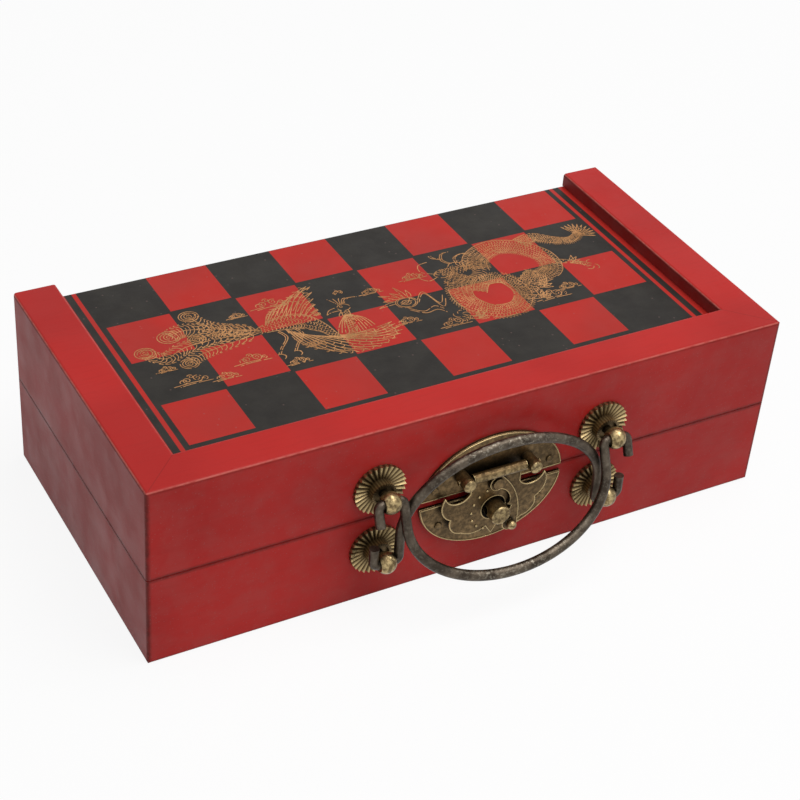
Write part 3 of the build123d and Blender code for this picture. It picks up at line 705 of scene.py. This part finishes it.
def dragon():
    """A scaled body in two loops, crested, with a maned head, four claws and a tufted tail."""
    coil = curve([
        (5.52, 2.3), (5.26, 2.02), (5.16, 1.62), (5.38, 1.24), (5.8, 1.2),
        (6.06, 1.52), (5.98, 1.92), (5.66, 1.98), (5.46, 1.74),
    ], 10)
    spine = curve([
        (5.72, 2.28), (5.86, 2.6), (6.24, 2.78), (6.62, 2.66),
        (6.9, 2.3), (6.84, 1.9), (6.5, 1.76), (6.3, 1.94),
    ], 10)
    tail = curve([(6.72, 2.72), (7.02, 2.8), (7.3, 2.6), (7.56, 2.52), (7.8, 2.66)], 10)
    strokes = []
    parts = ((coil, 84, 0.19, 0.1), (spine, 70, 0.19, 0.14), (tail, 40, 0.13, 0.05))
    for line, stations, wide, narrow in parts:

        def girth(share):
            return wide + (narrow - wide) * share

        strokes += outline(line, girth, 60)
        strokes += scales(line, 0.02, 0.98, stations, girth, 5, 0.5)
        for n in range(stations):
            share = 0.03 + 0.94 * n / stations
            root = girth(share)
            strokes.append([
                beside(line, share, -root),
                beside(line, share + 0.01, -root - 0.055),
                beside(line, share + 0.013, -root),
            ])
    strokes += [
        curve([
            (5.6, 2.36), (5.6, 2.56), (5.44, 2.62), (5.3, 2.5),
            (5.14, 2.5), (5.04, 2.4), (5.14, 2.3), (5.32, 2.34),
        ]),
        curve([(5.32, 2.34), (5.22, 2.24), (5.1, 2.2), (5.18, 2.12), (5.36, 2.16), (5.5, 2.18)]),
        ring((5.42, 2.48), 0.055),
        ring((5.42, 2.48), 0.02, 8),
        arc((5.12, 2.43), 0.035, 0, 5, steps=8),
        curve([(5.1, 2.42), (4.9, 2.56), (4.94, 2.74), (5.12, 2.78)]),
        curve([(5.08, 2.36), (4.9, 2.3), (4.8, 2.42), (4.86, 2.52)]),
    ]
    horns = (
        [(5.42, 2.6), (5.34, 2.74), (5.42, 2.9), (5.54, 2.92)],
        [(5.52, 2.6), (5.56, 2.74), (5.72, 2.8), (5.8, 2.74)],
        [(5.36, 2.76), (5.24, 2.84), (5.22, 2.92)],
    )
    for shift in (0.0, 0.035):
        strokes += [curve([(u + shift, v) for u, v in horn]) for horn in horns]
    for n in range(16):
        angle = -2.2 + 3.6 * n / 15
        root = (5.52 + 0.13 * cos(angle), 2.34 + 0.13 * sin(angle))
        middle = (5.52 + 0.26 * cos(angle + 0.2), 2.34 + 0.24 * sin(angle + 0.2))
        tip = (5.52 + 0.36 * cos(angle - 0.05), 2.34 + 0.32 * sin(angle - 0.05))
        strokes.append(curve([root, middle, tip], 5))
    strokes += scales(curve([(5.16, 2.44), (5.36, 2.42), (5.58, 2.4)]), 0, 1, 9, lambda share: 0.1, 4)
    legs = (
        ((5.3, 1.36), (5.08, 1.18), (4.9, 1.3)),
        ((6.0, 1.4), (6.26, 1.3), (6.3, 1.56)),
        ((6.6, 1.84), (6.42, 1.54), (6.2, 1.72)),
        ((6.92, 2.08), (7.2, 1.96), (7.46, 1.76)),
    )
    for hip, knee, paw in legs:
        arm = curve([hip, knee, paw])
        strokes += outline(arm, lambda part: 0.06 - 0.03 * part, steps=12)
        strokes += scales(arm, 0.05, 0.9, 8, lambda part: 0.05, 2)
        for n in range(4):
            angle = 2 * pi * n / 5 + paw[0]
            claw = (paw[0] + 0.07 * cos(angle), paw[1] + 0.07 * sin(angle))
            strokes.append(arc(claw, 0.07, angle, angle + 2.4, steps=6))
        for n in range(4):
            strokes += flame(knee, 0.5 * n - 0.6, 0.18, 0.03)
    for n in range(11):
        strokes += flame((7.74, 2.62), -0.6 + 0.26 * n, 0.3, 0.022)
    return strokes


def drawing():
    strokes = phoenix() + pearl((4.3, 1.92), 0.17) + dragon()
    clouds = (
        ((2.42, 2.68), 0.18), ((1.62, 1.5), 0.17), ((0.66, 1.36), 0.17), ((1.12, 1.26), 0.13),
        ((2.2, 1.2), 0.12), ((4.72, 1.2), 0.16), ((4.72, 2.52), 0.14), ((3.95, 2.4), 0.12),
        ((6.46, 1.28), 0.18), ((6.8, 1.4), 0.13), ((4.1, 1.5), 0.13), ((2.62, 1.5), 0.1),
        ((1.85, 2.56), 0.1), ((0.42, 1.72), 0.1),
    )
    for centre, size in clouds:
        strokes += cloud(centre, size)
    return strokes


def worn_away(spot):
    """True on the small gaps that rubbing has left in the lines."""
    wave = sin(spot.x * 5230 + 3 * sin(spot.y * 1710)) * sin(spot.y * 4790 + 3 * sin(spot.x * 1930))
    return wave > 0.72


def ribbon_mesh(name, strokes, height, up):
    """Flat ribbons along the strokes, from one height outwards, looking up or down."""
    bm = bmesh.new()
    for order, line in enumerate(strokes):
        level = height + up * (order % ink_levels) * ink_step
        points = [Vector((field_left + u * square, field_front + v * square)) for u, v in line]
        points = [p for n, p in enumerate(points) if n == 0 or (p - points[n - 1]).length > least_step]
        if len(points) < 2:
            continue
        pairs = []
        for n, point in enumerate(points):
            before, after = points[max(n - 1, 0)], points[min(n + 1, len(points) - 1)]
            run = after - before
            if run.length < least_step / 100:
                continue
            taper = 0.55 if n in (0, len(points) - 1) else 1.0
            side = Vector((-run.y, run.x)).normalized() * stroke_width / 2 * taper
            pairs.append([bm.verts.new((*(point + sign * side), level)) for sign in (up, -up)])
        for (a, b), (c, d) in zip(pairs, pairs[1:]):
            if not worn_away(a.co):
                bm.faces.new((a, b, d, c))
    bmesh.ops.delete(bm, geom=[v for v in bm.verts if not v.link_faces], context="VERTS")
    return mesh_of(bm, name, smooth=False)


def draw_boards():
    """The same drawing on both halves, turned so that it stands upright on the open board."""
    strokes = drawing()
    turned = [[(columns - u, v) for u, v in line] for line in strokes]
    halves = (
        ("lid", strokes, board_high.z + ink_lift, 1),
        ("base", turned, base_board_low.z - ink_lift, -1),
    )
    for body, lines, height, up in halves:
        name = f"{body}_gold_drawing"
        place(ribbon_mesh(name, lines, height, up), name, body, ink, "lacquered_board")


draw_boards()


# Felt on the floors of both halves

felt_rim = 0.9 * MM
felt_cells = (60, 28)


def felt_sheet(node, body):
    """A thin sheet whose top sinks and swells slightly, with a soft rounded rim."""
    low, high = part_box(node)
    name = f"{node}_felt"
    length, depth, thick = high.x - low.x, high.y - low.y, high.z - low.z
    up = 1 if body == "base" else -1
    foot = low.z if up > 0 else high.z
    across, along = felt_cells
    bm = bmesh.new()
    grid = []
    for j in range(along + 1):
        row = []
        for i in range(across + 1):
            x, y = low.x + length * i / across, low.y + depth * j / along
            inset = min(x - low.x, high.x - x, y - low.y, high.y - y)
            swell = 0.06 * thick * (sin(x * 210 + 1) * cos(y * 260) + sin(x * 90 - y * 130))
            roll = 1 - 0.55 * max(0.0, 1 - inset / felt_rim) ** 2
            rise = thick * roll * 0.88 + (swell if inset > felt_rim else 0)
            row.append(bm.verts.new((x, y, foot + up * rise)))
        grid.append(row)
    for j in range(along):
        for i in range(across):
            face = (grid[j][i], grid[j][i + 1], grid[j + 1][i + 1], grid[j + 1][i])
            bm.faces.new(face if up > 0 else face[::-1])
    bm.normal_update()
    piece = place(mesh_of(bm, name), name, body, finishes["lining"], "lining")
    solid = piece.modifiers.new("thickness", "SOLIDIFY")
    solid.thickness = thick * 0.4
    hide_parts(node)


felt_sheet("base_floor_pad", "base")
felt_sheet("lid_floor_pad", "lid")


# Trim of the lock: pale rims and bead dots, which lie from first_bead to last_bead degrees

hasp_rim = 0.3 * MM
plate_rim = 0.24 * MM
lever_rim = 0.2 * MM
rim_sides = 6
hasp_rim_sink = 0.22 * MM
lever_rim_sink = 0.05 * MM
lever_gap = 0.1 * MM
lever_rim_from_post = 2.7 * MM
face_slack = 0.02 * MM
least_rim_points = 9
bead_radius = 0.5 * MM
bead_reach = 8.2 * MM
bead_count = 7
first_bead = 112
last_bead = 248


def tube(points, radius, closed, sides=rim_sides):
    """The mesh of a thin round moulding along points."""
    bm = bmesh.new()
    rings = []
    count = len(points)
    outward = Vector((0, -1, 0))
    for n, point in enumerate(points):
        before = points[(n - 1) % count] if closed or n else points[0]
        after = points[(n + 1) % count] if closed or n < count - 1 else points[-1]
        across = (after - before).normalized().cross(-outward).normalized()
        turns = [2 * pi * k / sides for k in range(sides)]
        spots = [point + radius * (cos(turn) * across + sin(turn) * outward) for turn in turns]
        rings.append([bm.verts.new(spot) for spot in spots])
    pairs = list(zip(rings, rings[1:])) + ([(rings[-1], rings[0])] if closed else [])
    for ring, following in pairs:
        for k in range(sides):
            after = (k + 1) % sides
            bm.faces.new((ring[k], ring[after], following[after], following[k]))
    bmesh.ops.recalc_face_normals(bm, faces=bm.faces)
    return mesh_of(bm, "moulding")


def beads(places, radius, name, body):
    """Small balls at the places, as one piece."""
    bm = bmesh.new()
    for spot in places:
        seat = Matrix.Translation(spot)
        bmesh.ops.create_uvsphere(bm, u_segments=10, v_segments=6, radius=radius, matrix=seat)
    return place(mesh_of(bm, name), name, body, polished, "antique_brass")


def face_rims(node, y):
    """Chains of points round the front face of a node that lies at y."""
    bm = bmesh.new()
    bm.from_mesh(frame["nodes"][node].data)
    bmesh.ops.remove_doubles(bm, verts=bm.verts, dist=0.001 * MM)
    turns = frame["nodes"][node].matrix_world
    flat = [f for f in bm.faces if all(abs((turns @ v.co).y - y) < face_slack for v in f.verts)]
    uses = {}
    for face in flat:
        for edge in face.edges:
            uses.setdefault(edge, []).append(face)
    links = {}
    for edge in (e for e, faces in uses.items() if len(faces) == 1):
        a, b = edge.verts
        links.setdefault(a, []).append(b)
        links.setdefault(b, []).append(a)
    chains = []
    while links:
        start = next(iter(links))
        chain = [start]
        while links.get(chain[-1]):
            following = links[chain[-1]].pop()
            links[following].remove(chain[-1])
            if not links[chain[-1]]:
                del links[chain[-1]]
            chain.append(following)
        links.pop(chain[-1], None)
        chains.append([turns @ v.co for v in chain])
    bm.free()
    return [chain for chain in chains if len(chain) >= least_rim_points]


def clear_of_post(points, post_gap):
    """A closed rim without its stretch beside the lock post, or None if it stays clear."""
    gaps = [hypot(p.x - lock_x, p.z - lock_z) - post_radius for p in points]
    if not post_gap or min(gaps) >= post_gap:
        return None
    first = next(k for k in range(len(points)) if gaps[k - 1] < post_gap <= gaps[k])
    run = []
    for n in range(len(points)):
        k = (first + n) % len(points)
        if gaps[k] < post_gap:
            break
        run.append(points[k])
    return run


def rim_moulding(node, y, radius, body, sink=0.0, post_gap=0.0):
    """A fine rounded rim along the outlines of a flat piece whose face lies at y."""
    for n, chain in enumerate(face_rims(node, y)):
        closed = (chain[0] - chain[-1]).length < face_slack / 2
        points = [point + Vector((0, sink, 0)) for point in (chain[:-1] if closed else chain)]
        run = clear_of_post(points, post_gap)
        mesh = tube(run or points, radius, closed and not run)
        place(mesh, f"{node}_rim_{n + 1}", body, polished, "antique_brass")


def trim_lock():
    """Pale rims, and bead dots in an arc on the hasp beside the post."""
    lever_front, lever_back = (corner.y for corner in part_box("latch_lever"))
    hasp_face = lever_back + lever_gap
    rim_moulding("hasp", hasp_face, hasp_rim, "hasp", hasp_rim_sink)
    rim_moulding("lid_lock_plate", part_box("lid_lock_plate")[0].y, plate_rim, "lid")
    rim_moulding("base_lock_plate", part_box("base_lock_plate")[0].y, plate_rim, "base")
    rim_moulding("latch_lever", lever_front, lever_rim, "latch", lever_rim_sink, lever_rim_from_post)
    step = (last_bead - first_bead) / (bead_count - 1)
    turns = [radians(first_bead + step * n) for n in range(bead_count)]
    spots = [Vector((lock_x + bead_reach * cos(a), hasp_face, lock_z + bead_reach * sin(a))) for a in turns]
    beads(spots, bead_radius, "hasp_beads", "hasp")


trim_lock()


# Floor, camera and studio light

floor_size = 6
paper_glow = 0.9
paper_grey = (0.86, 0.86, 0.86)
paper_white = (0.9, 0.9, 0.9)
camera_lens = 85.0
camera_place = Vector((-265.77 * MM, front_y - 385.65 * MM, 404.13 * MM))
camera_look = Vector((0.41931, 0.69110, -0.58870))
camera_up = Vector((0.23257, 0.54504, 0.80551))
lamp_place = (0.3, -0.26, 1.28)
lamp_size = 1.2
lamp_watts = 17.5
lamp_aim = Vector((0, 0, 0.03))
world_light = 0.18


def seen(tree):
    """1 for rays that show the backdrop: from the camera, in reflections and through glass."""
    path = tree.nodes.new("ShaderNodeLightPath")
    total = path.outputs["Is Camera Ray"]
    for name in ("Is Glossy Ray", "Is Transmission Ray"):
        node = tree.nodes.new("ShaderNodeMath")
        node.operation = "MAXIMUM"
        tree.links.new(total, node.inputs[0])
        tree.links.new(path.outputs[name], node.inputs[1])
        total = node.outputs[0]
    return total


def make_floor():
    """White paper: mostly its own white where it is seen, and the case's shadow on it."""
    bpy.ops.mesh.primitive_plane_add(size=floor_size, location=(0, 0, 0))
    floor = bpy.context.object
    floor.name = "studio_floor"
    s = Shader("studio_floor")
    tone = s.mix(s.ramp(s.noise(0.4, 2), 0.3, 0.7), paper_grey, paper_white)
    s.finish(tone, 0.8, Specular_IOR_Level=0.0)
    glow = s.add("ShaderNodeEmission", {"Color": (1, 1, 1), "Strength": 1.0}).outputs[0]
    share = s.math("MULTIPLY", seen(s.tree), paper_glow)
    both = s.add("ShaderNodeMixShader", {0: share, 1: s.surface.outputs[0], 2: glow}).outputs[0]
    s.tree.links.new(both, s.tree.nodes["Material Output"].inputs["Surface"])
    floor.data.materials.append(s.material)


def make_camera():
    """The photograph's view, found from the case's edges and the board's squares."""
    camera = bpy.data.cameras.new("camera")
    camera.sensor_width = 36
    camera.lens = camera_lens
    camera.clip_start = 0.01
    seat = bpy.data.objects.new("camera", camera)
    right = camera_look.cross(camera_up)
    turn = Matrix((right, camera_up, -camera_look)).transposed().to_4x4()
    seat.matrix_world = Matrix.Translation(camera_place) @ turn
    bpy.context.scene.collection.objects.link(seat)
    bpy.context.scene.camera = seat


def make_lamp():
    """One wide, soft square lamp above the case, looking at it."""
    light = bpy.data.lights.new("top_box", "AREA")
    light.size = lamp_size
    light.energy = lamp_watts
    box = bpy.data.objects.new("top_box", light)
    box.location = lamp_place
    box.rotation_euler = (lamp_aim - box.location).to_track_quat("-Z", "Y").to_euler()
    bpy.context.scene.collection.objects.link(box)


def make_world():
    """A dim, even light, which is white where it is seen."""
    world = bpy.data.worlds.new("studio")
    bpy.context.scene.world = world
    world.use_nodes = True
    tree = world.node_tree
    ground = tree.nodes["Background"]
    ground.inputs[0].default_value = (1, 1, 1, 1)
    level = tree.nodes.new("ShaderNodeMapRange")
    level.inputs["To Min"].default_value = world_light
    level.inputs["To Max"].default_value = 1.0
    tree.links.new(seen(tree), level.inputs["Value"])
    tree.links.new(level.outputs[0], ground.inputs[1])


make_floor()
make_camera()
make_lamp()
make_world()
bpy.context.scene.view_settings.view_transform = "Standard"
